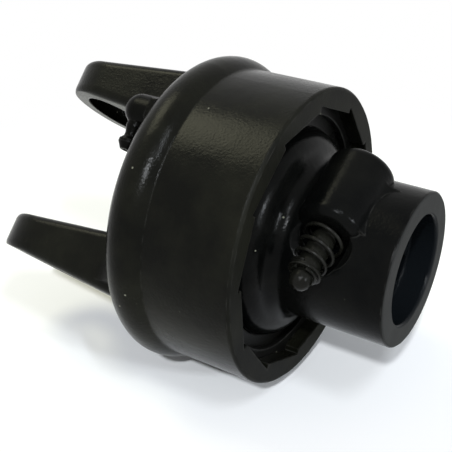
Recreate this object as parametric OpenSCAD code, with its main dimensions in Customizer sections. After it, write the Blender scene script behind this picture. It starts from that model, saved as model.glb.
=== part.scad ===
// Ratchet overrunning clutch for a tractor drive shaft: a forged drum and yoke
// that drives a splined hub through four sprung pawls, and runs free one way.
// Millimetres. The clutch's axis lies along X. The middle of the hub's end face
// is the origin, the drive shaft comes out towards +X and Z points up.
// Inside on_axis() z runs from the hub's end face towards the yoke, x points up.

/* [Drum and ratchet] */
// Thickness of the drum's wall outside the notches
drum_wall = 4.8; // [4:0.1:7]
// Distance from the hub's end face to the open face of the drum
drum_face = 37; // [36:0.5:40]
// Depth of the ratchet chamber from the open face to its floor
chamber_depth = 29; // [28:0.5:31]
// Thickness of the drum's floor behind the chamber
floor_t = 18; // [16:0.5:20]
// Number of notches in the ratchet
notch_count = 12; // [12:12:24]
// Radius at the root of a notch
notch_root_r = 45.2; // [43:0.1:48]
// Height of a ratchet tooth
notch_depth = 2; // [1.6:0.1:2.3]
// Turn of the first notch from the top
notch_turn = 4.7; // [0:0.1:10]
// Height of the bead round the back of the drum
bead_h = 3; // [1:0.25:4]
// Radius of the bead's rounded section
bead_r = 9; // [8:0.25:10]

/* [Yoke] */
// Diameter of the cross bearing bores
cross_bore_d = 27; // [22:0.1:28]
// Distance from the hub's end face to the cross bearing axis
cross_axis = 127; // [124:0.5:136]
// Width over the cross bearing cups, between the snap ring grooves
cup_span = 70; // [68:0.5:72]
// Radius of the rounded end of each ear
ear_r = 19.5; // [18.5:0.25:22]
// Gap between the ears at the bearing axis
ear_gap = 48; // [44:0.5:52]
// Metal outside each snap ring groove
ear_land = 1.6; // [1.4:0.1:2.4]
// Lean of each face of the ears towards the tip
ear_taper = 5; // [4.5:0.5:5.5]
// Rounding of the ears' long edges
ear_round = 3; // [1:0.5:4]
// Turn of the bearing axis from the top
ear_turn = 225; // [0:5:360]

/* [Hub] */
// Wall of the hub's barrel outside the lead-in
barrel_wall = 7.4; // [6:0.1:8.5]
// Major diameter of the six splines
spline_major_d = 35; // [34.9:0.05:35.2]
// Depth of a spline groove
spline_depth = 2.6; // [2.4:0.05:2.7]
// Width of each spline groove
spline_w = 8.7; // [8.6:0.05:8.9]
// Number of splines
spline_count = 6; // [6:15:21]
// Depth of the plain lead-in at the mouth
lead_in = 9; // [6:0.5:11]
// Width of the chamfer at the mouth
mouth_chamfer = 0.7; // [0.4:0.1:1.2]
// Step from the domed flange out to the rotor's edge
flange_step = 6.7; // [6.2:0.1:7.5]
// Gap between the rotor and the tooth tips
rotor_gap = 1; // [0.8:0.1:1.4]
// Length of the rotor
rotor_l = 16.8; // [16:0.2:18]
// Radius of the journal behind the rotor
journal_r = 24; // [23:0.25:25]
// Length of the journal
journal_l = 10; // [8:0.5:11]

/* [Pawls] */
// Number of pawls
pawl_count = 4; // [4:4:4]
// Metal between a pawl's round heel and the rotor's edge
heel_cover = 0.5; // [0.3:0.1:0.7]
// Radius of a pawl's round heel
heel_r = 4.2; // [4:0.1:4.4]
// Thickness of a pawl's arm
pawl_t = 4.8; // [4.4:0.1:5.2]
// Swing of a pawl from pressed in to its notch
pawl_swing = 10; // [8:0.5:10.5]
// Angle about the clutch between the pivot and the nose's corner
pawl_reach = 24; // [22:0.25:25]
// Gap between the pawl and the notch's face when it has dropped in
nose_gap = 1.25; // [1.2:0.05:1.6]
// Depth of the pawl pockets below the rotor's edge
pocket_depth = 9.2; // [9:0.1:10]
// Thickness of a pawl's leaf spring
leaf_t = 0.6; // [0.4:0.1:0.8]

/* [Washers and rings] */
// Thickness of the retaining ring
ring_t = 2.5; // [2:0.1:2.6]
// Width of the retaining ring from its groove to its inner edge
ring_width = 6.5; // [5.5:0.25:7.5]
// Depth of the retaining ring's groove beyond the notch roots
ring_groove = 1.5; // [1:0.1:1.8]
// Thickness of the cover washer
cover_t = 2; // [1.5:0.1:2.4]
// Thickness of the thrust washer
thrust_t = 1.8; // [1.4:0.1:2]
// Wall of the journal's bush
bush_wall = 3; // [2:0.25:3.5]

/* [Quick release pin] */
// Diameter of the locking part of the push pin
pin_d = 12; // [11:0.25:13]
// Diameter of the stem under the spring
stem_d = 7.6; // [7:0.1:7.8]
// Depth to which the pin's body reaches into the spline grooves
lock_depth = 2.7; // [2.4:0.1:2.8]
// Distance from the hub's end face to the pin's axis
pin_z = 22.7; // [22:0.25:23.5]
// Turn of the pin about the clutch from the top
pin_turn = 335; // [0:5:360]
// Wall of the boss outside the pin's body
boss_wall = 4.8; // [4:0.1:5.5]
// Offset of the boss from the pin's axis, away from the clutch's axis
boss_out = 0.7; // [0:0.1:1]
// Offset of the boss from the pin's axis, towards the hub's end face
boss_fore = 0.5; // [0:0.1:1]
// Length of the boss on the plain side
boss_back = 17; // [15:0.5:19]
// Length of the boss on the spring side
boss_front = 10; // [9:0.25:11]
// Diameter of the spring's wire
wire_d = 1.2; // [1:0.1:1.4]
// Length of the stem that shows beyond the boss
stem_show = 14; // [13:0.5:16]
// Radius of the spring's first turn, to the wire's middle
spring_r_boss = 6.3; // [6:0.1:6.5]
// Radius of the spring's last turn, to the wire's middle
spring_r_tip = 4.6; // [4.6:0.1:5]
// Number of turns in the spring
spring_turns = 3.5; // [2.5:1:5.5]

/* [Grease fitting] */
// Distance of the fitting inwards from the drum's side
fitting_inset = 11.5; // [11:0.25:12.5]
// Distance of the fitting towards the upper ear
fitting_along = 16; // [14:0.5:17]
// Radius of the fitting's body
fitting_r = 5.5; // [5:0.1:5.8]
// Height of the nipple's axis above the drum's back
fitting_h = 7; // [6:0.25:8]
// Radius of the nipple's head
nipple_r = 3.3; // [3.2:0.05:3.4]
// Length of the nipple beyond the fitting's body
nipple_l = 8.5; // [8:0.25:10]

/* [Clearances] */
// Radial running clearance of the journal in its bush
journal_play = 0.05; // [0.02:0.01:0.1]
// Radial clearance of the push pin in its boss
pin_play = 0.05; // [0.02:0.01:0.1]
// Radial clearance of a pawl's heel in its socket
heel_play = 0.08; // [0.03:0.01:0.1]
// Gap between faces that pass each other
face_gap = 0.2; // [0.1:0.05:0.3]
// Gap between a ring and the bore that holds it
ring_gap = 0.2; // [0.1:0.05:0.3]

/* [Hidden] */
$fn = 96;

drum_r = notch_root_r + drum_wall;
tooth_tip_r = notch_root_r - notch_depth;
lead_r = spline_major_d / 2 + 0.3;
barrel_r = lead_r + barrel_wall;
spline_minor_d = spline_major_d - 2 * spline_depth;
pin_r = pin_d / 2;
stem_r = stem_d / 2;
pin_offset = spline_major_d / 2 + pin_r - lock_depth;
waist_r = pin_offset - spline_major_d / 2 - 0.1;
boss_r = pin_r + boss_wall;
chamber_floor = drum_face + chamber_depth;
drum_back = chamber_floor + floor_t;
bead_z = drum_back - bead_r;
bead_centre_r = drum_r + bead_h - bead_r;
ear_in = ear_gap / 2;
groove_w = 1.5;
groove_deep = 1.1;
ear_out = cup_span / 2 + groove_w + ear_land;
notch_pitch = 360 / notch_count;

rotor_end = chamber_floor - thrust_t - face_gap;
rotor_start = rotor_end - rotor_l;
cover_end = rotor_start - face_gap;
ring_end = cover_end - cover_t;
ring_start = ring_end - ring_t;
ring_groove_r = notch_root_r + ring_groove;
ring_inner_r = ring_groove_r - ring_gap - ring_width;
ramp_r = notch_root_r * tooth_tip_r * sin(notch_pitch)
    / norm([notch_root_r - tooth_tip_r * cos(notch_pitch), tooth_tip_r * sin(notch_pitch)]);
cover_outer_r = ramp_r - ring_gap;
journal_end = rotor_end + journal_l;
pocket_floor = journal_end + 2;
bush_outer_r = journal_r + journal_play + bush_wall;
rotor_r = tooth_tip_r - rotor_gap;
flange_r = rotor_r - flange_step;
pivot_r = rotor_r - heel_cover - heel_r;
pocket_r = rotor_r - pocket_depth;
fitting_side = drum_r - fitting_inset;

// the pawl's nose, as a place beside its pivot when pressed in and when it has dropped
nose_x = (rotor_r - 0.1) * cos(pawl_reach) - pivot_r;
nose_y = -(rotor_r - 0.1) * sin(pawl_reach);
out_x = pivot_r + nose_x * cos(pawl_swing) - nose_y * sin(pawl_swing);
out_y = nose_x * sin(pawl_swing) + nose_y * cos(pawl_swing);
nose_out_angle = -atan2(out_y, out_x);
nose_gap_angle = asin(nose_gap / notch_root_r);
pawl_turn = notch_turn + nose_out_angle + nose_gap_angle;

lock_end = 1.5;
cap_start = boss_front + stem_show;
collar_t = 1;
clip_t = 0.9;
neck_r = 3;
head_r = 3.5;
head_z = cap_start + collar_t + clip_t + 0.1;
dead_turns = 0.5;
closing = 0.32;

dome_r = 7;
dome_x = flange_r - dome_r;
dome_z = ring_end + 0.5;
flange_fillet = 5;
boss_fillet = 5;

thread_r = 3.95;
thread_l = 9;
ball_r = 1.2;
mouth_r = 0.95;
lip = 0.6;
head_tip = fitting_r + nipple_l;
ball_place = head_tip - lip - sqrt(ball_r * ball_r - mouth_r * mouth_r) - 0.05;
ball_bore = 5;
ball_spring_r = 0.9;

// Place of a point at radius r and angle a
function polar(r, a) = [r * cos(a), r * sin(a)];

// Height at the share t of a coil that starts with a flat share dead and closes up towards its end
function coil_rise(t, dead, low, closing) = t < dead ? low * t / dead
    : let (u = (t - dead) / (1 - dead)) low + (1 - low) * u * (1 + closing * (1 - u));

// Points of one ring of wire, at angle a, radius r and height z of a helix
function coil_ring(r, a, z, wire, sides) = [for (k = [0:sides - 1])
    let (b = 360 * k / sides, q = r + wire / 2 * cos(b))
    [q * cos(a), q * sin(a), z + wire / 2 * sin(b)]];

// A closed coil of round wire that stands on z = 0 and is length high to the last turn's middle
module coil(r0, r1, length, turns, wire, flat_turns = 0, closing = 0, steps = 14, sides = 6) {
    count = ceil(steps * turns);
    dead = flat_turns / turns;
    low = wire * flat_turns / length;
    points = [for (i = [0:count])
        let (t = i / count, r = r0 + (r1 - r0) * max(0, t - dead) / (1 - dead))
        each coil_ring(r, 360 * turns * t, length * coil_rise(t, dead, low, closing), wire, sides)];
    tube = [for (i = [0:count - 1]) for (k = [0:sides - 1])
        let (m = (k + 1) % sides)
        [i * sides + k, (i + 1) * sides + k, (i + 1) * sides + m, i * sides + m]];
    first = [for (k = [0:sides - 1]) k];
    last = [for (k = [sides - 1:-1:0]) count * sides + k];
    polyhedron(points, concat(tube, [first], [last]), convexity = 8);
}

// Puts a shape on the clutch's axis, which runs from the hub's face to the yoke
module on_axis() {
    rotate([0, -90, 0]) children();
}

// Turns a shape so that its x points along the bearing axis, towards the lower ear
module ear_frame(side = 1) {
    rotate([0, 0, ear_turn + (side > 0 ? 0 : 180)]) children();
}

// Puts a shape on the push pin's axis, x away from the clutch and z towards the spring
module pin_frame() {
    rotate([0, 0, pin_turn]) translate([pin_offset, 0, pin_z]) rotate([90, 0, 0]) children();
}

module tube(r_out, r_in, z0, z1) {
    translate([0, 0, z0]) difference() {
        cylinder(r = r_out, h = z1 - z0);
        translate([0, 0, -1]) cylinder(r = r_in, h = z1 - z0 + 2);
    }
}

// Section of the drum with its bead and its chamfered rim, revolved about y
module drum_section() {
    rim = 0.8;
    polygon([[0, drum_face], [drum_r - rim, drum_face], [drum_r, drum_face + rim],
        [drum_r, bead_z], [bead_centre_r, drum_back], [0, drum_back]]);
    translate([bead_centre_r, bead_z]) circle(r = bead_r);
}

// Outline of the chamber: flat ramps from each notch root to the next tooth tip
module ratchet_outline() {
    polygon([for (k = [0:notch_count - 1])
        each [polar(notch_root_r, notch_turn + k * notch_pitch),
            polar(tooth_tip_r, notch_turn + (k + 1) * notch_pitch)]]);
}

// A bar's section with its face at x = 0, rounded at both corners of that face
module faced_section(depth) {
    translate([-depth, -ear_r]) square([depth - ear_round, 2 * ear_r]);
    translate([-ear_round - 0.5, -ear_r + ear_round]) square([ear_round + 0.5, 2 * (ear_r - ear_round)]);
    for (s = [-1, 1])
        translate([-ear_round, s * (ear_r - ear_round)]) circle(r = ear_round);
}

// A long bar whose rounded face leans as the ear's face does
module faced_bar(x, lean, mirrored) {
    reach = ear_r + 1;
    depth = 40;
    translate([x, 0, cross_axis]) rotate([0, lean, 0]) mirror([mirrored, 0, 0])
        translate([0, 0, floor_t / 2 + chamber_floor - cross_axis])
            linear_extrude(cross_axis - chamber_floor - floor_t / 2 + reach) faced_section(depth);
}

// One ear: a round eye and a straight shank, thinner towards the tip, with rounded edges
module ear() {
    root = drum_back - 4;
    intersection() {
        union() {
            translate([0, 0, cross_axis]) rotate([0, 90, 0]) rotate_extrude() {
                translate([0, ear_in]) square([ear_r - ear_round, ear_out - ear_in]);
                translate([0, ear_in + ear_round]) square([ear_r, ear_out - ear_in - 2 * ear_round]);
                for (x = [ear_in + ear_round, ear_out - ear_round])
                    translate([ear_r - ear_round, x]) circle(r = ear_round);
            }
            translate([ear_in / 2, -ear_r, root]) cube([ear_out, 2 * ear_r, cross_axis - root]);
        }
        faced_bar(ear_out, -ear_taper, 0);
        faced_bar(ear_in, ear_taper, 1);
    }
}

// Fillets that spread an ear's root onto the drum's back
module ear_root() {
    throat_r = 10;
    flank_r = fitting_side - ear_r - fitting_r - 1.5;
    root_in = ear_in - tan(ear_taper) * (cross_axis - drum_back - throat_r);
    sunk = 2;
    lap = 0.3;
    bite = 0.05;
    half_w = ear_r - ear_round - 0.7;
    rotate([90, 0, 0]) translate([0, 0, -half_w])
        linear_extrude(2 * half_w) difference() {
            translate([root_in - throat_r, drum_back - sunk]) square([throat_r + 4, throat_r + sunk]);
            translate([root_in - throat_r + lap, drum_back + throat_r]) circle(r = throat_r);
        }
    intersection() {
        rotate([90, 0, 90]) translate([0, 0, root_in + 0.5]) linear_extrude(drum_r - root_in) difference() {
            translate([-ear_r - flank_r, drum_back - sunk])
                square([2 * (ear_r + flank_r), flank_r + sunk - 2 * bite]);
            for (s = [-1, 1])
                translate([s * (ear_r + flank_r - bite), drum_back + flank_r - bite]) circle(r = flank_r);
        }
        faced_root();
        cylinder(r = bead_centre_r - 1, h = drum_back + flank_r);
    }
}

// Limits the root's flanks to the leaning outer face of the ear
module faced_root() {
    translate([ear_out, 0, cross_axis]) rotate([0, -ear_taper, 0])
        translate([-2 * ear_out, -drum_r, -cross_axis]) cube([2 * ear_out, 2 * drum_r, 2 * cross_axis]);
}

// Bore and snap ring grooves for the cross bearing's cups, through both leaning ears
module cross_bores() {
    beyond = ear_out + tan(ear_taper) * cross_bore_d / 2 + 1;
    translate([-beyond, 0, cross_axis]) rotate([0, 90, 0])
        cylinder(d = cross_bore_d, h = 2 * beyond);
    for (s = [0, 1])
        mirror([s, 0, 0]) translate([cup_span / 2, 0, cross_axis]) rotate([0, 90, 0])
            cylinder(r = cross_bore_d / 2 + groove_deep, h = groove_w);
}

// Hole of the grease fitting, from the drum's back into the chamber
module fitting_hole() {
    translate([-fitting_along, fitting_side, drum_back]) {
        translate([0, 0, -thread_l - 1]) cylinder(r = thread_r + 0.05, h = thread_l + 2);
        translate([0, 0, -floor_t - 1]) cylinder(r = 1.5, h = floor_t);
    }
}

// Forged drum and yoke in one piece, with the ratchet cut inside the drum
module housing_yoke() color([0.10, 0.10, 0.09]) on_axis() {
    relief = 2.5;
    difference() {
        union() {
            rotate_extrude() intersection() {
                drum_section();
                translate([0, drum_face]) square([2 * drum_r, drum_back]);
            }
            for (s = [1, -1]) ear_frame(s) {
                ear();
                ear_root();
            }
        }
        translate([0, 0, drum_face - 1]) linear_extrude(chamber_depth + 1) ratchet_outline();
        translate([0, 0, chamber_floor - relief]) cylinder(r = notch_root_r + 0.6, h = relief);
        translate([0, 0, ring_start - 0.05]) cylinder(r = ring_groove_r, h = ring_t + 0.1);
        translate([0, 0, chamber_floor - 1])
            cylinder(r = bush_outer_r, h = pocket_floor - chamber_floor + 1);
        ear_frame() cross_bores();
        ear_frame() fitting_hole();
    }
}

// Height of the side of a triangle: how far a circle's middle lies past x when it touches at distance d
function leg(d, x) = sqrt(d * d - x * x);

// Section of the hub's outside: barrel, fillet, domed flange, rotor and journal
module hub_section() {
    chamfer = 0.6;
    fillet_x = barrel_r + flange_fillet;
    fillet_z = dome_z - leg(dome_r + flange_fillet, fillet_x - dome_x);
    polygon([[0, 0], [barrel_r - chamfer, 0], [barrel_r, chamfer],
        [barrel_r, rotor_start], [0, rotor_start]]);
    difference() {
        polygon([[0, fillet_z], [fillet_x, fillet_z], [dome_x, dome_z], [0, dome_z]]);
        translate([fillet_x, fillet_z]) circle(r = flange_fillet);
    }
    intersection() {
        translate([dome_x, dome_z]) circle(r = dome_r);
        square([flange_r, rotor_start]);
    }
    translate([0, dome_z]) square([flange_r, rotor_start - dome_z]);
    translate([0, rotor_start]) square([rotor_r, rotor_l]);
    translate([0, rotor_start]) square([journal_r, journal_end - rotor_start]);
}

// Fillet that runs the boss into the barrel on the side of the mouth
module boss_side() {
    foot = barrel_r - 2.2 - pin_offset - boss_out;
    foot_z = -leg(boss_r + boss_fillet, foot + boss_fillet);
    difference() {
        polygon([[0, 0], [foot - 4, foot_z], [foot + boss_fillet, foot_z]]);
        translate([foot + boss_fillet, foot_z]) circle(r = boss_fillet);
    }
}

// Boss round the push pin and the fillet at its side
module pin_boss() {
    edge = 3;
    pin_frame() translate([boss_out, -boss_fore, -boss_back]) {
        rotate_extrude() {
            square([boss_r - edge, boss_back + boss_front]);
            translate([0, edge]) square([boss_r, boss_back + boss_front - 2 * edge]);
            for (z = [edge, boss_back + boss_front - edge])
                translate([boss_r - edge, z]) circle(r = edge);
        }
        translate([0, 0, 2 * edge]) linear_extrude(boss_back + boss_front - 2.5 * edge) boss_side();
    }
}

// Splined bore with its plain lead-in and chamfered mouth
module splined_bore() {
    relief_start = rotor_end - 4;
    translate([0, 0, -1]) cylinder(d = spline_minor_d, h = journal_end + 2);
    intersection() {
        translate([0, 0, -1]) cylinder(d = spline_major_d, h = relief_start + 2);
        for (k = [0:spline_count - 1]) rotate([0, 0, pin_turn + 30 + k * 360 / spline_count])
            translate([0, -spline_w / 2, -1]) cube([spline_major_d, spline_w, relief_start + 2]);
    }
    translate([0, 0, -1]) cylinder(r = lead_r, h = lead_in + 1);
    rotate_extrude()
        polygon([[0, -1], [lead_r + mouth_chamfer + 1, -1], [lead_r, mouth_chamfer], [0, mouth_chamfer]]);
    translate([0, 0, relief_start]) cylinder(d = spline_major_d + 1, h = journal_end);
}

// Stepped hole of the push pin and the hollow beside the boss that leaves room for its spring
module pin_hole() {
    far = 40;
    hollow_r = 18;
    hollow_depth = 3;
    hollow_turn = 33.7;
    reach = barrel_r + hollow_r - hollow_depth;
    pin_frame() {
        translate([0, 0, -far]) cylinder(r = pin_r + pin_play, h = far - lock_end);
        translate([0, 0, -far]) cylinder(r = stem_r + pin_play, h = 2 * far);
        translate([0, 0, boss_front - 2]) cylinder(r = spring_r_boss - wire_d / 2 - 0.4, h = far);
        translate([0, 0, boss_front])
            cylinder(r1 = spring_r_boss + wire_d / 2 + 1.3, r2 = spring_r_tip + wire_d / 2 + 0.8,
                h = stem_show + 2);
        intersection() {
            translate([reach * cos(hollow_turn) - pin_offset, 0, reach * sin(hollow_turn)])
                sphere(r = hollow_r);
            translate([-far, -far, boss_front]) cube(2 * far);
        }
    }
}

// Pocket for one pawl: a round socket for the heel and room for the arm and its spring
module pawl_pocket() {
    reach = pawl_reach + 2;
    translate([pivot_r, 0]) circle(r = heel_r + heel_play);
    difference() {
        intersection() {
            circle(r = rotor_r + 1);
            polygon([[0, 0], polar(2 * rotor_r, -reach), polar(2 * rotor_r, -2)]);
        }
        circle(r = pocket_r);
    }
    translate([pivot_r, -heel_r]) square([rotor_r, heel_r]);
}

// Splined hub: barrel, flange, the rotor with its pockets and the journal, all one forging
module hub() color([0.11, 0.11, 0.10]) on_axis() difference() {
    union() {
        rotate_extrude() hub_section();
        pin_boss();
    }
    splined_bore();
    pin_hole();
    for (k = [0:pawl_count - 1])
        rotate([0, 0, pawl_turn + k * 360 / pawl_count])
            translate([0, 0, rotor_start - 0.5]) linear_extrude(rotor_l + 1) pawl_pocket();
}

// Space outside the ramp that a dropped pawl lies along, with the pawl's pivot on x
module beyond_ramp() {
    start = notch_turn - pawl_turn;
    polygon([polar(notch_root_r - face_gap, start), polar(tooth_tip_r - face_gap, start + notch_pitch),
        polar(2 * rotor_r, start + notch_pitch), polar(2 * rotor_r, start)]);
}

// Outline of a pawl pressed into its pocket, with its pivot on x
module pawl_outline() {
    translate([pivot_r, 0]) circle(r = heel_r);
    difference() {
        intersection() {
            circle(r = rotor_r - 0.1);
            polygon([[0, 0], polar(2 * rotor_r, -pawl_reach - 6), polar(2 * rotor_r, 0)]);
            translate([pivot_r, 0]) rotate(-pawl_swing - 1)
                translate([-2 * rotor_r, -4 * rotor_r]) square(4 * rotor_r);
        }
        circle(r = rotor_r - 0.1 - pawl_t);
        translate([pivot_r, 0]) rotate(-pawl_swing) translate([-pivot_r, 0])
            polygon([[0, 0], polar(2 * rotor_r, -nose_out_angle - 30), polar(2 * rotor_r, -nose_out_angle)]);
        translate([pivot_r, 0]) rotate(-pawl_swing) translate([-pivot_r, 0]) beyond_ramp();
    }
}

module pawl(index) color([0.45, 0.44, 0.42]) on_axis()
    rotate([0, 0, pawl_turn + index * 360 / pawl_count])
        translate([0, 0, rotor_start + face_gap]) linear_extrude(rotor_l - 2 * face_gap) pawl_outline();

// Outline of the folded leaf spring under a pawl: a foot on the pocket's floor and a rising leaf
module leaf_outline() {
    fold = 5.5;
    tip = pawl_reach - 5;
    foot_r = pocket_r + 0.05;
    top = rotor_r - pawl_t - 0.35;
    intersection() {
        difference() {
            circle(r = foot_r + leaf_t);
            circle(r = foot_r);
        }
        polygon([[0, 0], polar(rotor_r, -tip), polar(rotor_r, -fold)]);
    }
    polygon([polar(foot_r + 0.5 * leaf_t, -fold), polar(foot_r + 0.8 * leaf_t, -fold - 2),
        polar(top - leaf_t, -tip), polar(top, -tip), polar(foot_r + 1.7 * leaf_t, -fold)]);
}

module pawl_spring(index) color([0.30, 0.32, 0.36]) on_axis()
    rotate([0, 0, pawl_turn + index * 360 / pawl_count])
        translate([0, 0, rotor_start + 2]) linear_extrude(rotor_l - 4) leaf_outline();

// Flat washer that closes the chamber round the hub's flange
module cover_washer() color([0.12, 0.12, 0.12]) on_axis()
    tube(cover_outer_r, flange_r + ring_gap, ring_end, cover_end);

// Internal snap ring with two lugs, sprung into the groove across the teeth
module retaining_ring() color([0.10, 0.10, 0.11]) on_axis()
    rotate([0, 0, 125]) translate([0, 0, ring_start]) linear_extrude(ring_t) {
        lug_r = 4;
        gap_half = 5;
        lug_angle = gap_half + 5;
        difference() {
            circle(r = ring_groove_r - ring_gap);
            circle(r = ring_inner_r);
            polygon([[0, 0], polar(2 * drum_r, -gap_half), polar(2 * drum_r, gap_half)]);
        }
        for (s = [-1, 1]) difference() {
            rotate(s * lug_angle) translate([ring_inner_r + 0.5, 0]) circle(r = lug_r);
            rotate(s * lug_angle) translate([ring_inner_r - 0.5, 0]) circle(r = 1.25);
        }
    }

// Thrust washer between the rotor and the drum's floor
module thrust_washer() color([0.62, 0.50, 0.30]) on_axis()
    tube(ramp_r - ring_gap, bush_outer_r + 1, chamber_floor - thrust_t, chamber_floor);

// Plain bush that carries the hub's journal
module journal_bush() color([0.66, 0.52, 0.28]) on_axis()
    tube(bush_outer_r, journal_r + journal_play, chamber_floor, journal_end + 1);

// Push pin: the locking part, the stem and the domed head
module push_pin() color([0.16, 0.16, 0.15]) on_axis() pin_frame() {
    stick_out = 2;
    end_round = 1;
    rotate_extrude() {
        polygon([[0, -boss_back - stick_out], [pin_r - end_round, -boss_back - stick_out],
            [pin_r, -boss_back - stick_out + end_round], [pin_r, -lock_end - 0.05],
            [waist_r, -lock_end - 0.05], [waist_r, boss_front + 1], [stem_r, boss_front + 1.5],
            [stem_r, cap_start], [neck_r, cap_start], [neck_r, head_z], [0, head_z]]);
        translate([0, head_z]) square([head_r, 1.2]);
        intersection() {
            translate([0, head_z + 1.2]) circle(r = head_r);
            translate([0, head_z + 1.2]) square(2 * head_r);
        }
    }
}

// Return spring of the push pin, wound left-handed and narrower towards the head
module push_pin_spring() color([0.20, 0.20, 0.19]) on_axis() pin_frame()
    translate([0, 0, boss_front + wire_d / 2 + 0.05]) rotate([0, 0, 180]) mirror([0, 1, 0])
        coil(spring_r_boss, spring_r_tip, stem_show - wire_d - 0.1, spring_turns, wire_d,
            dead_turns, closing);

module spring_washer() color([0.20, 0.20, 0.19]) on_axis() pin_frame()
    tube(spring_r_tip + wire_d / 2, neck_r + pin_play, cap_start, cap_start + collar_t);

module spring_clip() color([0.22, 0.22, 0.22]) on_axis() pin_frame()
    translate([0, 0, cap_start + collar_t]) linear_extrude(clip_t) difference() {
        circle(r = head_r + 0.9);
        circle(r = neck_r + pin_play);
        translate([0, -1.6]) square([2 * head_r, 3.2]);
    }

// Puts a shape at the grease fitting, z away from the drum's back and x along the nipple
module fitting_frame() {
    ear_frame() translate([-fitting_along, fitting_side, drum_back]) children();
}

// Elbow grease fitting screwed into the drum's back
module grease_elbow() color([0.13, 0.13, 0.12]) on_axis() fitting_frame() {
    collar_h = 2.2;
    across_flats = 2 * fitting_r;
    difference() {
        union() {
            translate([0, 0, -thread_l]) cylinder(r = thread_r, h = thread_l + 1);
            cylinder(r = across_flats / 2 / cos(30), h = collar_h, $fn = 6);
            cylinder(r = fitting_r, h = fitting_h);
            intersection() {
                translate([0, 0, fitting_h]) sphere(r = fitting_r);
                cylinder(r = fitting_r, h = 3 * fitting_h);
            }
            translate([0, 0, fitting_h]) rotate([0, 90, 0]) rotate_extrude()
                polygon([[0, 0], [3, 0], [3, fitting_r + 0.6],
                    [2.3, fitting_r + 3], [2.3, fitting_r + 4.2],
                    [nipple_r, fitting_r + 5.4], [nipple_r, fitting_r + 6.4],
                    [1.9, head_tip], [0, head_tip]]);
        }
        translate([0, 0, -thread_l - 1]) cylinder(r = 1.2, h = thread_l + fitting_h + 1);
        translate([0, 0, fitting_h]) rotate([0, 90, 0]) {
            cylinder(r = 1.2, h = head_tip - ball_bore);
            translate([0, 0, head_tip - ball_bore]) cylinder(r = ball_r + 0.1, h = ball_bore - lip);
            translate([0, 0, head_tip - lip - 0.1]) cylinder(r = mouth_r, h = 2);
        }
    }
}

// Check ball just inside the nipple's mouth
module grease_ball() color([0.75, 0.75, 0.77]) on_axis() fitting_frame()
    translate([ball_place, 0, fitting_h]) sphere(r = ball_r);

// Spring that holds the check ball against its seat
module grease_ball_spring() color([0.55, 0.56, 0.58]) on_axis() fitting_frame() {
    wire = 0.3;
    start = head_tip - ball_bore + wire / 2 + 0.05;
    end = ball_place - sqrt(ball_r * ball_r - ball_spring_r * ball_spring_r) - wire / 2 - 0.05;
    translate([start, 0, fitting_h]) rotate([0, 90, 0])
        coil(ball_spring_r, ball_spring_r, end - start, 3, wire, steps = 10, sides = 5);
}

housing_yoke();
hub();
cover_washer();
retaining_ring();
thrust_washer();
journal_bush();
pawl(0);  // pawl_1
pawl(1);  // pawl_2
pawl(2);  // pawl_3
pawl(3);  // pawl_4
pawl_spring(0);  // pawl_spring_1
pawl_spring(1);  // pawl_spring_2
pawl_spring(2);  // pawl_spring_3
pawl_spring(3);  // pawl_spring_4
push_pin();
push_pin_spring();
spring_washer();
spring_clip();
grease_elbow();
grease_ball();
grease_ball_spring();
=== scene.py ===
import math
import bmesh
import bpy
from mathutils import Matrix, Vector


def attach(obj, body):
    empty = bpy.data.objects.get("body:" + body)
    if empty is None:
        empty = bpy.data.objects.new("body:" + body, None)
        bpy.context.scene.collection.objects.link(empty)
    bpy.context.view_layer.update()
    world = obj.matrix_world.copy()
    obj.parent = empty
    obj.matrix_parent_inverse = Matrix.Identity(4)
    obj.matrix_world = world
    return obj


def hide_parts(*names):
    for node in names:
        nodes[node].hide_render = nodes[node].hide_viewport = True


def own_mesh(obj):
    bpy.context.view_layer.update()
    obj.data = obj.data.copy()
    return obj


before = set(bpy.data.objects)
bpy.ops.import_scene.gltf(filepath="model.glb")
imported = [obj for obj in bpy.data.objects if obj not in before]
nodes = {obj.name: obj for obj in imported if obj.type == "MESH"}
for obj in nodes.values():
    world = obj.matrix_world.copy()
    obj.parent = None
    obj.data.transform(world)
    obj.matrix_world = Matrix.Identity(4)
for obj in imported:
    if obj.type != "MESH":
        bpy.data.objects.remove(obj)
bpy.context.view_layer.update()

# Camera: looks down on the clutch from the hub's side, at the angle of the photograph.
# Its lens is long, as for a small product on a table.
camera_place = Vector((0.0757, -0.2305, 0.1490))
look = Vector((-0.4634, 0.7368, -0.4923)).normalized()
camera_data = bpy.data.cameras.new("camera")
camera_data.lens = 71.76
camera_data.sensor_width = 36.0
camera_data.clip_start = 0.01
camera_data.clip_end = 60.0
camera = bpy.data.objects.new("camera", camera_data)
bpy.context.collection.objects.link(camera)
level = look.cross(Vector((0, 0, 1))).normalized()
above = level.cross(look)
turn = Matrix((level, above, -look)).transposed().to_4x4()
camera.matrix_world = Matrix.Translation(camera_place) @ turn
bpy.context.scene.camera = camera


# Housing yoke: drum, bead and two ears in one steel forging. The drum's side and its open
# rim are turned, the bead and the ears keep the forged skin, and all of it is sprayed with
# one thin coat of semi-gloss black that shows the skin under it.
def add_node(tree, kind, place=(0, 0), **values):
    """a shader node with its settings and the plain values of its inputs"""
    made = tree.nodes.new(kind)
    made.location = place
    for name, value in values.items():
        setattr(made, name, value)
    return made


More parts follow.
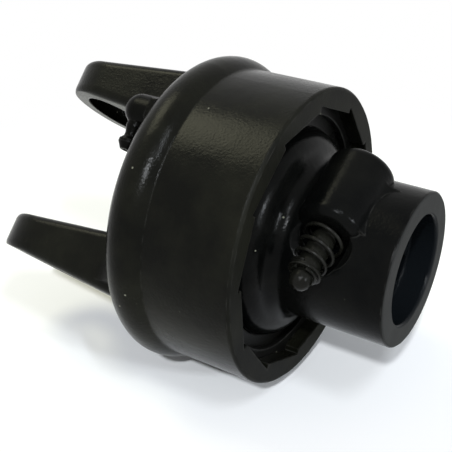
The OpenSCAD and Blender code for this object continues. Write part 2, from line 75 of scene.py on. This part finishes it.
def forged_skin_group():
    """height of a forged and painted skin, its cloudy haze and its pale specks"""
    group = bpy.data.node_groups.new("forged_skin", "ShaderNodeTree")
    for name in ("Dent", "Peel", "Pit"):
        group.interface.new_socket(name=name, in_out="INPUT", socket_type="NodeSocketFloat")
    for name in ("Height", "Haze", "Specks"):
        group.interface.new_socket(name=name, in_out="OUTPUT", socket_type="NodeSocketFloat")
    into = add_node(group, "NodeGroupInput", (-900, 0))
    out = add_node(group, "NodeGroupOutput", (700, 0))
    where = add_node(group, "ShaderNodeTexCoord", (-900, -300))

    def noise(scale, detail, rough, place):
        made = add_node(group, "ShaderNodeTexNoise", place)
        made.inputs["Scale"].default_value = scale
        made.inputs["Detail"].default_value = detail
        made.inputs["Roughness"].default_value = rough
        group.links.new(where.outputs["Object"], made.inputs["Vector"])
        return made.outputs["Fac"]

    def maths(operation, a, b, place):
        made = add_node(group, "ShaderNodeMath", place, operation=operation)
        for socket, value in zip(made.inputs, (a, b)):
            if isinstance(value, (int, float)):
                socket.default_value = value
            else:
                group.links.new(value, socket)
        return made.outputs[0]

    dents = noise(150.0, 3.0, 0.55, (-650, 300))
    peel = noise(1300.0, 3.0, 0.55, (-650, 100))
    haze = noise(42.0, 5.0, 0.62, (-650, -100))
    spread = noise(75.0, 2.0, 0.5, (-650, -500))
    cells = add_node(group, "ShaderNodeTexVoronoi", (-650, -300))
    cells.inputs["Scale"].default_value = 330.0
    group.links.new(where.outputs["Object"], cells.inputs["Vector"])
    near = maths("LESS_THAN", cells.outputs["Distance"], 0.16, (-400, -300))
    some = maths("GREATER_THAN", spread, 0.60, (-400, -500))
    pits = maths("MULTIPLY", near, some, (-200, -350))
    chance = add_node(group, "ShaderNodeSeparateColor", (-400, -750))
    group.links.new(cells.outputs["Color"], chance.inputs["Color"])
    few = maths("GREATER_THAN", chance.outputs["Red"], 0.955, (-200, -750))
    small = maths("LESS_THAN", cells.outputs["Distance"], 0.11, (-200, -600))
    specks = maths("MULTIPLY", few, small, (0, -650))
    dented = maths("MULTIPLY", dents, into.outputs["Dent"], (-200, 300))
    peeled = maths("MULTIPLY", peel, into.outputs["Peel"], (-200, 100))
    pitted = maths("MULTIPLY", pits, into.outputs["Pit"], (0, -100))
    raised = maths("ADD", dented, peeled, (0, 200))
    height = maths("SUBTRACT", raised, pitted, (200, 100))
    group.links.new(height, out.inputs["Height"])
    group.links.new(haze, out.inputs["Haze"])
    group.links.new(specks, out.inputs["Specks"])
    return group


def worn_edge_group():
    """mask of the sharp edges, broken up by noise, where the paint is thin"""
    group = bpy.data.node_groups.new("worn_edge", "ShaderNodeTree")
    group.interface.new_socket(name="Amount", in_out="INPUT", socket_type="NodeSocketFloat")
    group.interface.new_socket(name="Mask", in_out="OUTPUT", socket_type="NodeSocketFloat")
    into = add_node(group, "NodeGroupInput", (-900, 0))
    out = add_node(group, "NodeGroupOutput", (500, 0))
    rounded = add_node(group, "ShaderNodeBevel", (-900, 200), samples=6)
    rounded.inputs["Radius"].default_value = 0.0007
    true = add_node(group, "ShaderNodeNewGeometry", (-900, -100))
    dot = add_node(group, "ShaderNodeVectorMath", (-650, 100), operation="DOT_PRODUCT")
    group.links.new(rounded.outputs["Normal"], dot.inputs[0])
    group.links.new(true.outputs["Normal"], dot.inputs[1])
    edge = add_node(group, "ShaderNodeMapRange", (-400, 100), clamp=True)
    edge.inputs["From Min"].default_value = 0.995
    edge.inputs["From Max"].default_value = 0.90
    group.links.new(dot.outputs["Value"], edge.inputs["Value"])
    where = add_node(group, "ShaderNodeTexCoord", (-900, -350))
    breaks = add_node(group, "ShaderNodeTexNoise", (-650, -350))
    breaks.inputs["Scale"].default_value = 240.0
    breaks.inputs["Detail"].default_value = 5.0
    group.links.new(where.outputs["Object"], breaks.inputs["Vector"])
    part = add_node(group, "ShaderNodeMapRange", (-400, -350), clamp=True)
    part.inputs["From Min"].default_value = 0.42
    part.inputs["From Max"].default_value = 0.62
    group.links.new(breaks.outputs["Fac"], part.inputs["Value"])
    both = add_node(group, "ShaderNodeMath", (-150, 0), operation="MULTIPLY")
    group.links.new(edge.outputs["Result"], both.inputs[0])
    group.links.new(part.outputs["Result"], both.inputs[1])
    final = add_node(group, "ShaderNodeMath", (100, 0), operation="MULTIPLY", use_clamp=True)
    group.links.new(both.outputs[0], final.inputs[0])
    group.links.new(into.outputs["Amount"], final.inputs[1])
    group.links.new(final.outputs[0], out.inputs["Mask"])
    return group


forged_skin = forged_skin_group()
worn_edge = worn_edge_group()


def black_paint(name, colour, haze_colour, dent, peel, pit, rough, wear, shine, depth=0.00016):
    """semi-gloss black over steel: its skin, its haze, its specks and its thin edges"""
    bare_edge = (0.075, 0.073, 0.066, 1)
    speck = (0.13, 0.13, 0.10, 1)
    material = bpy.data.materials.new(name)
    material.use_nodes = True
    tree = material.node_tree
    tree.nodes.clear()
    out = add_node(tree, "ShaderNodeOutputMaterial", (900, 0))
    shader = add_node(tree, "ShaderNodeBsdfPrincipled", (600, 0))
    shader.inputs["Specular IOR Level"].default_value = shine
    skin = add_node(tree, "ShaderNodeGroup", (-600, 0), node_tree=forged_skin)
    skin.inputs["Dent"].default_value = dent
    skin.inputs["Peel"].default_value = peel
    skin.inputs["Pit"].default_value = pit
    edges = add_node(tree, "ShaderNodeGroup", (-600, -300), node_tree=worn_edge)
    edges.inputs["Amount"].default_value = wear
    clouds = add_node(tree, "ShaderNodeMapRange", (-350, 200), clamp=True)
    clouds.inputs["From Min"].default_value = 0.38
    clouds.inputs["From Max"].default_value = 0.68
    tree.links.new(skin.outputs["Haze"], clouds.inputs["Value"])
    base = add_node(tree, "ShaderNodeMix", (-100, 250), data_type="RGBA")
    base.inputs["A"].default_value = (*colour, 1)
    base.inputs["B"].default_value = (*haze_colour, 1)
    tree.links.new(clouds.outputs["Result"], base.inputs["Factor"])
    worn = add_node(tree, "ShaderNodeMix", (150, 150), data_type="RGBA")
    worn.inputs["B"].default_value = bare_edge
    tree.links.new(base.outputs["Result"], worn.inputs["A"])
    tree.links.new(edges.outputs["Mask"], worn.inputs["Factor"])
    nibs = add_node(tree, "ShaderNodeMix", (380, 150), data_type="RGBA")
    nibs.inputs["B"].default_value = speck
    tree.links.new(worn.outputs["Result"], nibs.inputs["A"])
    tree.links.new(skin.outputs["Specks"], nibs.inputs["Factor"])
    tree.links.new(nibs.outputs["Result"], shader.inputs["Base Color"])
    gloss = add_node(tree, "ShaderNodeMapRange", (-100, -50), clamp=True)
    gloss.inputs["From Min"].default_value = 0.3
    gloss.inputs["From Max"].default_value = 0.7
    gloss.inputs["To Min"].default_value = rough - 0.06
    gloss.inputs["To Max"].default_value = rough + 0.10
    tree.links.new(skin.outputs["Haze"], gloss.inputs["Value"])
    tree.links.new(gloss.outputs["Result"], shader.inputs["Roughness"])
    soft = add_node(tree, "ShaderNodeBevel", (0, -350), samples=6)
    soft.inputs["Radius"].default_value = 0.0009
    bump = add_node(tree, "ShaderNodeBump", (300, -250))
    bump.inputs["Distance"].default_value = depth
    tree.links.new(skin.outputs["Height"], bump.inputs["Height"])
    tree.links.new(soft.outputs["Normal"], bump.inputs["Normal"])
    tree.links.new(bump.outputs["Normal"], shader.inputs["Normal"])
    tree.links.new(shader.outputs["BSDF"], out.inputs["Surface"])
    return material


def axis_mask(tree, start, end, place):
    """mask that rises from 0 to 1 between two places along X, in metres"""
    where = add_node(tree, "ShaderNodeTexCoord", (place[0] - 400, place[1]))
    apart = add_node(tree, "ShaderNodeSeparateXYZ", (place[0] - 200, place[1]))
    tree.links.new(where.outputs["Object"], apart.inputs["Vector"])
    mask = add_node(tree, "ShaderNodeMapRange", place, clamp=True)
    mask.inputs["From Min"].default_value = start
    mask.inputs["From Max"].default_value = end
    tree.links.new(apart.outputs["X"], mask.inputs["Value"])
    return mask.outputs["Result"]


def mix_into(tree, target, mask, value, place, kind="FLOAT"):
    """lays a value or a colour's socket over what feeds a socket, where the mask is 1"""
    mixed = add_node(tree, "ShaderNodeMix", place, data_type=kind)
    tree.links.new(mask, mixed.inputs["Factor"])
    tree.links.new(target.links[0].from_socket, mixed.inputs["A"])
    if isinstance(value, bpy.types.NodeSocket):
        tree.links.new(value, mixed.inputs["B"])
    else:
        mixed.inputs["B"].default_value = value
    tree.links.new(mixed.outputs["Result"], target)


def give_material(names, material):
    """puts one material on nodes of the source"""
    for name in names:
        nodes[name].data.materials.clear()
        nodes[name].data.materials.append(material)


rim_x = -0.0370
housing_black = black_paint("housing_black", (0.0026, 0.0027, 0.0019), (0.0070, 0.0071, 0.0046),
                            dent=0.75, peel=0.50, pit=0.9, rough=0.20, wear=0.3, shine=0.070)
tree = housing_black.node_tree
shader = next(item for item in tree.nodes if item.type == "BSDF_PRINCIPLED")
rim = axis_mask(tree, rim_x - 0.0009, rim_x - 0.0003, (-200, -600))
mix_into(tree, shader.inputs["Roughness"], rim, 0.62, (0, -600))
give_material(["housing_yoke"], housing_black)

# Hub: a second forging. The barrel is turned and its end face is left as faced off, with
# only a breath of paint on it. The flange and the boss for the push pin keep the forged
# skin, and the spline is broached.
bore_radius = 0.0181
faced_colours = (0.017, 0.0175, 0.017, 1), (0.032, 0.032, 0.031, 1)
broached_colour = (0.004, 0.005, 0.006, 1)
hub_black = black_paint("hub_black", (0.0016, 0.0018, 0.0018), (0.0040, 0.0041, 0.0036),
                        dent=0.9, peel=0.40, pit=0.4, rough=0.17, wear=0.3, shine=0.048)
tree = hub_black.node_tree
shader = next(item for item in tree.nodes if item.type == "BSDF_PRINCIPLED")
faced = axis_mask(tree, -0.00045, -0.00015, (-200, 700))
place = add_node(tree, "ShaderNodeTexCoord", (-600, 950))
thin = add_node(tree, "ShaderNodeTexNoise", (-400, 950))
thin.inputs["Scale"].default_value = 130.0
thin.inputs["Detail"].default_value = 4.0
tree.links.new(place.outputs["Object"], thin.inputs["Vector"])
misted = add_node(tree, "ShaderNodeMix", (0, 950), data_type="RGBA")
misted.inputs["A"].default_value, misted.inputs["B"].default_value = faced_colours
tree.links.new(thin.outputs["Fac"], misted.inputs["Factor"])
mix_into(tree, shader.inputs["Base Color"], faced, misted.outputs["Result"], (350, 500), "RGBA")
radial = add_node(tree, "ShaderNodeVectorMath", (-400, 1250), operation="MULTIPLY")
radial.inputs[1].default_value = (0.0, 1.0, 1.0)
tree.links.new(place.outputs["Object"], radial.inputs[0])
distance = add_node(tree, "ShaderNodeVectorMath", (-200, 1250), operation="LENGTH")
tree.links.new(radial.outputs["Vector"], distance.inputs[0])
inside = add_node(tree, "ShaderNodeMapRange", (0, 1250), clamp=True)
inside.inputs["From Min"].default_value = bore_radius + 0.0005
inside.inputs["From Max"].default_value = bore_radius
tree.links.new(distance.outputs["Value"], inside.inputs["Value"])
in_bore = inside.outputs["Result"]
mix_into(tree, shader.inputs["Base Color"], in_bore, broached_colour, (550, 600), "RGBA")
mix_into(tree, shader.inputs["Roughness"], faced, 0.70, (350, 250))
give_material(["hub"], hub_black)

# Retaining ring and cover washer: stamped spring steel and a flat washer, put in before
# the clutch is painted, so the same coat lies on them.
ring_black = black_paint("ring_black", (0.0020, 0.0020, 0.0018), (0.0042, 0.0042, 0.0036),
                         dent=0.2, peel=0.4, pit=0.2, rough=0.30, wear=0.4, shine=0.04)
give_material(["retaining_ring", "cover_washer"], ring_black)

# Push pin: turned steel with a domed head, a washer and a clip on its neck. It is dark
# from oil and the overspray of the paint.
pin_steel = black_paint("pin_steel", (0.0040, 0.0040, 0.0032), (0.009, 0.009, 0.0070),
                        dent=0.5, peel=0.5, pit=0.3, rough=0.14, wear=0.4, shine=0.08)
give_material(["push_pin", "spring_washer", "spring_clip"], pin_steel)


# Return spring: a cone of round wire, wound left-handed, whose first half turn lies flat on
# the boss. It stands round the pin's stem and pushes on the washer under the pin's head.
def start_wire(segments, wire, start):
    """a mesh with the closed first ring of a round wire, and the ring's edges"""
    mesh = bmesh.new()
    bmesh.ops.create_circle(mesh, segments=segments, radius=wire / 2)
    upright = Matrix.Rotation(math.pi / 2, 3, "X")
    bmesh.ops.rotate(mesh, verts=mesh.verts, cent=(0, 0, 0), matrix=upright)
    bmesh.ops.translate(mesh, verts=mesh.verts, vec=start)
    ring_edges = list(mesh.edges)
    bmesh.ops.contextual_create(mesh, geom=ring_edges)
    return mesh, ring_edges


def grow_wire(mesh, ring_edges):
    """the wire's next ring: its vertices and its edges"""
    grown = bmesh.ops.extrude_edge_only(mesh, edges=ring_edges)["geom"]
    verts = [item for item in grown if isinstance(item, bmesh.types.BMVert)]
    edges = [item for item in grown if isinstance(item, bmesh.types.BMEdge)]
    return verts, [edge for edge in edges if all(vert in verts for vert in edge.verts)]


def end_wire(mesh, ring_edges, name, across, along, middle):
    """closes the wire, turns the coil's axis from Z to where it belongs and makes the object"""
    bmesh.ops.contextual_create(mesh, geom=ring_edges)
    bmesh.ops.recalc_face_normals(mesh, faces=mesh.faces)
    place = Matrix((across, along.cross(across), along)).transposed().to_4x4()
    place.translation = middle
    bmesh.ops.transform(mesh, matrix=place, verts=mesh.verts)
    data = bpy.data.meshes.new(name)
    mesh.to_mesh(data)
    mesh.free()
    for face in data.polygons:
        face.use_smooth = True
    made = bpy.data.objects.new(name, data)
    bpy.context.collection.objects.link(made)
    return made


wire = 0.0012
seat = 0.0100
foot_radius = 0.0063
tip_radius = 0.0046
turns = 3.5
flat_turns = 0.5
rise = 0.0127
flat_rise = wire * flat_turns
closing = 0.32
gap = 0.00005
pin_middle = Vector((-0.0227, -0.0087905, 0.0188512))
pin_out = Vector((0.0, -0.422618, 0.906308))
pin_along = Vector((0.0, -0.906308, -0.422618))
mesh, ring_edges = start_wire(14, wire, (-foot_radius, 0, wire / 2 + gap))
steps = 44
step_turn = Matrix.Rotation(-2 * math.pi / steps, 3, "Z")
height = 0.0
for step in range(1, round(steps * turns) + 1):
    wound = step / steps
    share = max(0.0, wound - flat_turns) / (turns - flat_turns)
    if wound < flat_turns:
        new_height = flat_rise * wound / flat_turns
    else:
        new_height = flat_rise + (rise - flat_rise) * share * (1 + closing * (1 - share))
    radius = foot_radius + (tip_radius - foot_radius) * share
    ring_verts, ring_edges = grow_wire(mesh, ring_edges)
    spoke = sum((vert.co for vert in ring_verts), Vector()) / len(ring_verts)
    spoke.z = 0
    bmesh.ops.translate(mesh, verts=ring_verts, vec=spoke.normalized() * (radius - spoke.length))
    bmesh.ops.translate(mesh, verts=ring_verts, vec=(0, 0, new_height - height))
    bmesh.ops.rotate(mesh, verts=ring_verts, cent=(0, 0, 0), matrix=step_turn)
    height = new_height
foot = pin_middle + pin_along * seat
spring = end_wire(mesh, ring_edges, "pin_spring", pin_out, pin_along, foot)
spring_black = black_paint("spring_black", (0.004, 0.004, 0.0035), (0.009, 0.009, 0.007),
                           dent=0.2, peel=0.5, pit=0.1, rough=0.22, wear=0.0, shine=0.12,
                           depth=0.00005)
spring.data.materials.append(spring_black)
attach(spring, "hub")
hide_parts("push_pin_spring")
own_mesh(spring)

# Grease fitting: a steel elbow screwed into the drum's back, with a ball head for the
# grease gun. It was on the clutch when that was sprayed.
fitting_black = black_paint("fitting_black", (0.0018, 0.0018, 0.0015), (0.0040, 0.0040, 0.0032),
                            dent=0.4, peel=0.5, pit=0.3, rough=0.20, wear=0.4, shine=0.04)
give_material(["grease_elbow"], fitting_black)


# Parts inside the drum, oiled and unpainted: ground pawls, blued leaf springs, bronze
# bush and thrust washer, and the check ball in the grease fitting.
def bare_metal(name, colour, rough, grain):
    """oiled metal with fine machining marks"""
    material = bpy.data.materials.new(name)
    material.use_nodes = True
    tree = material.node_tree
    tree.nodes.clear()
    out = add_node(tree, "ShaderNodeOutputMaterial", (700, 0))
    shader = add_node(tree, "ShaderNodeBsdfPrincipled", (400, 0))
    shader.inputs["Metallic"].default_value = 1.0
    where = add_node(tree, "ShaderNodeTexCoord", (-700, 0))
    stretch = add_node(tree, "ShaderNodeMapping", (-500, 0))
    stretch.inputs["Scale"].default_value = (0.08, 1.0, 1.0)
    lines = add_node(tree, "ShaderNodeTexNoise", (-300, 0))
    lines.inputs["Scale"].default_value = grain
    lines.inputs["Detail"].default_value = 5.0
    tree.links.new(where.outputs["Object"], stretch.inputs["Vector"])
    tree.links.new(stretch.outputs["Vector"], lines.inputs["Vector"])
    tint = add_node(tree, "ShaderNodeMix", (-50, 200), data_type="RGBA")
    tint.inputs["A"].default_value = (*[part * 0.72 for part in colour], 1)
    tint.inputs["B"].default_value = (*colour, 1)
    tree.links.new(lines.outputs["Fac"], tint.inputs["Factor"])
    tree.links.new(tint.outputs["Result"], shader.inputs["Base Color"])
    gloss = add_node(tree, "ShaderNodeMapRange", (-50, -50), clamp=True)
    gloss.inputs["To Min"].default_value = rough - 0.08
    gloss.inputs["To Max"].default_value = rough + 0.08
    tree.links.new(lines.outputs["Fac"], gloss.inputs["Value"])
    tree.links.new(gloss.outputs["Result"], shader.inputs["Roughness"])
    bump = add_node(tree, "ShaderNodeBump", (100, -250))
    bump.inputs["Distance"].default_value = 0.00003
    tree.links.new(lines.outputs["Fac"], bump.inputs["Height"])
    tree.links.new(bump.outputs["Normal"], shader.inputs["Normal"])
    tree.links.new(shader.outputs["BSDF"], out.inputs["Surface"])
    return material


pawl_steel = bare_metal("pawl_steel", (0.36, 0.35, 0.33), 0.32, 900.0)
leaf_steel = bare_metal("leaf_steel", (0.12, 0.13, 0.16), 0.34, 1200.0)
bronze = bare_metal("bronze", (0.58, 0.40, 0.20), 0.38, 700.0)
ball_steel = bare_metal("ball_steel", (0.62, 0.62, 0.63), 0.15, 2500.0)
inner = {"thrust_washer": bronze, "journal_bush": bronze, "grease_ball": ball_steel}
for number in "1234":
    inner["pawl_" + number] = pawl_steel
    inner["pawl_spring_" + number] = leaf_steel
for name, metal in inner.items():
    give_material([name], metal)

# Spring of the check ball: three turns of thin spring wire in the fitting's nipple, between
# the bottom of its bore and the ball, which the grease gun's pressure pushes inwards.
ball_wire = 0.00030
ball_coil = 0.00090
ball_turns = 3
ball_foot = 0.00920
ball_top = 0.011623
nipple_root = Vector((-0.0910, -0.01591, 0.03854))
nipple_out = Vector((0.0, -0.707107, -0.707107))
mesh, ring_edges = start_wire(10, ball_wire, (ball_coil, 0, ball_foot))
steps = 28
step_turn = Matrix.Rotation(2 * math.pi / steps, 3, "Z")
step_rise = (ball_top - ball_foot) / (steps * ball_turns)
for step in range(steps * ball_turns):
    ring_verts, ring_edges = grow_wire(mesh, ring_edges)
    bmesh.ops.translate(mesh, verts=ring_verts, vec=(0, 0, step_rise))
    bmesh.ops.rotate(mesh, verts=ring_verts, cent=(0, 0, 0), matrix=step_turn)
backwards = Vector((-1, 0, 0))
ball_spring = end_wire(mesh, ring_edges, "check_ball_spring", backwards, nipple_out, nipple_root)
ball_spring.data.materials.append(leaf_steel)
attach(ball_spring, "housing")
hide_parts("grease_ball_spring")
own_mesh(ball_spring)


# Floor: a wide pale sheet under the clutch. Round the clutch it is lit and keeps the soft
# shadow; farther out it fades to plain white for the rays that show the surroundings.
def shown_rays(tree):
    """1 for camera, glossy and transmission rays, which see white surroundings"""
    rays = add_node(tree, "ShaderNodeLightPath", (-900, 600))
    seen = add_node(tree, "ShaderNodeMath", (-650, 600), operation="ADD")
    tree.links.new(rays.outputs["Is Camera Ray"], seen.inputs[0])
    tree.links.new(rays.outputs["Is Glossy Ray"], seen.inputs[1])
    shown = add_node(tree, "ShaderNodeMath", (-450, 600), operation="ADD", use_clamp=True)
    tree.links.new(seen.outputs[0], shown.inputs[0])
    tree.links.new(rays.outputs["Is Transmission Ray"], shown.inputs[1])
    return shown.outputs[0]


floor_z = -0.0545
shadow_middle = (-0.10, 0.070, floor_z)
shadow_reach = (0.09, 0.19)
mesh = bmesh.new()
bmesh.ops.create_grid(mesh, x_segments=2, y_segments=2, size=20.0)
bmesh.ops.translate(mesh, verts=mesh.verts, vec=(0, 0, floor_z))
floor_mesh = bpy.data.meshes.new("floor")
mesh.to_mesh(floor_mesh)
mesh.free()
floor = bpy.data.objects.new("floor", floor_mesh)
bpy.context.collection.objects.link(floor)
sheet = bpy.data.materials.new("pale_sheet")
sheet.use_nodes = True
tree = sheet.node_tree
paper = tree.nodes["Principled BSDF"]
paper.inputs["Base Color"].default_value = (0.97, 0.97, 0.97, 1)
paper.inputs["Roughness"].default_value = 0.9
place = add_node(tree, "ShaderNodeTexCoord", (-900, 300))
centred = add_node(tree, "ShaderNodeVectorMath", (-650, 300), operation="SUBTRACT")
centred.inputs[1].default_value = shadow_middle
tree.links.new(place.outputs["Object"], centred.inputs[0])
away = add_node(tree, "ShaderNodeVectorMath", (-450, 300), operation="LENGTH")
tree.links.new(centred.outputs["Vector"], away.inputs[0])
fade = add_node(tree, "ShaderNodeMapRange", (-250, 300), interpolation_type="SMOOTHSTEP")
fade.inputs["From Min"].default_value, fade.inputs["From Max"].default_value = shadow_reach
tree.links.new(away.outputs["Value"], fade.inputs["Value"])
share = add_node(tree, "ShaderNodeMath", (-50, 450), operation="MULTIPLY")
tree.links.new(fade.outputs["Result"], share.inputs[0])
tree.links.new(shown_rays(tree), share.inputs[1])
white = add_node(tree, "ShaderNodeEmission", (-50, 250))
faded = add_node(tree, "ShaderNodeMixShader", (400, 300))
tree.links.new(share.outputs[0], faded.inputs[0])
tree.links.new(paper.outputs["BSDF"], faded.inputs[1])
tree.links.new(white.outputs["Emission"], faded.inputs[2])
tree.links.new(faded.outputs["Shader"], tree.nodes["Material Output"].inputs["Surface"])
floor_mesh.materials.append(sheet)


# Light: a high lamp in front gives the main light, three boxes give the streaks of shine
# on the casting's rounded edges and the haze on the drum, and the room is pale and plain.
lamp_data = bpy.data.lights.new("wide_lamp", "SUN")
lamp_data.energy = 2.0
lamp_data.color = (0.92, 0.96, 1.0)
lamp_data.angle = math.radians(3)
wide_lamp = bpy.data.objects.new("wide_lamp", lamp_data)
bpy.context.collection.objects.link(wide_lamp)
wide_lamp.rotation_euler = Vector((-0.25, 0.68, -0.69)).to_track_quat("-Z", "Y").to_euler()


def shine_box(name, toward, size, power, colour=(0.88, 0.94, 1.0)):
    """a rectangular lamp that looks at the clutch from one side"""
    data = bpy.data.lights.new(name, "AREA")
    data.shape = "RECTANGLE"
    data.size, data.size_y = size
    data.energy = power
    data.color = colour
    box = bpy.data.objects.new(name, data)
    bpy.context.collection.objects.link(box)
    place = Vector(toward).normalized() * box_distance
    box.location = place
    box.rotation_euler = (-place).to_track_quat("-Z", "Y").to_euler()


box_distance = 1.1
shine_box("top_box", (0.40, -0.36, 0.84), (0.035, 0.22), 2.9)
shine_box("side_box", (0.92, -0.17, 0.34), (0.05, 0.09), 6.2)
shine_box("wall_box", (-0.58, -0.02, 0.81), (0.48, 0.42), 4.4, (1.0, 0.98, 0.70))
world = bpy.data.worlds.new("room")
world.use_nodes = True
bpy.context.scene.world = world
room = world.node_tree.nodes["Background"]
room.inputs["Color"].default_value = (0.95, 0.97, 1.0, 1)
room.inputs["Strength"].default_value = 0.30
tree = world.node_tree
backdrop = add_node(tree, "ShaderNodeBackground", (-200, 100))
backdrop.inputs["Color"].default_value = (1.0, 1.0, 1.0, 1)
faded = add_node(tree, "ShaderNodeMixShader", (100, 200))
tree.links.new(shown_rays(tree), faded.inputs[0])
tree.links.new(room.outputs["Background"], faded.inputs[1])
tree.links.new(backdrop.outputs["Background"], faded.inputs[2])
tree.links.new(faded.outputs["Shader"], tree.nodes["World Output"].inputs["Surface"])
bpy.context.scene.view_settings.view_transform = "Standard"
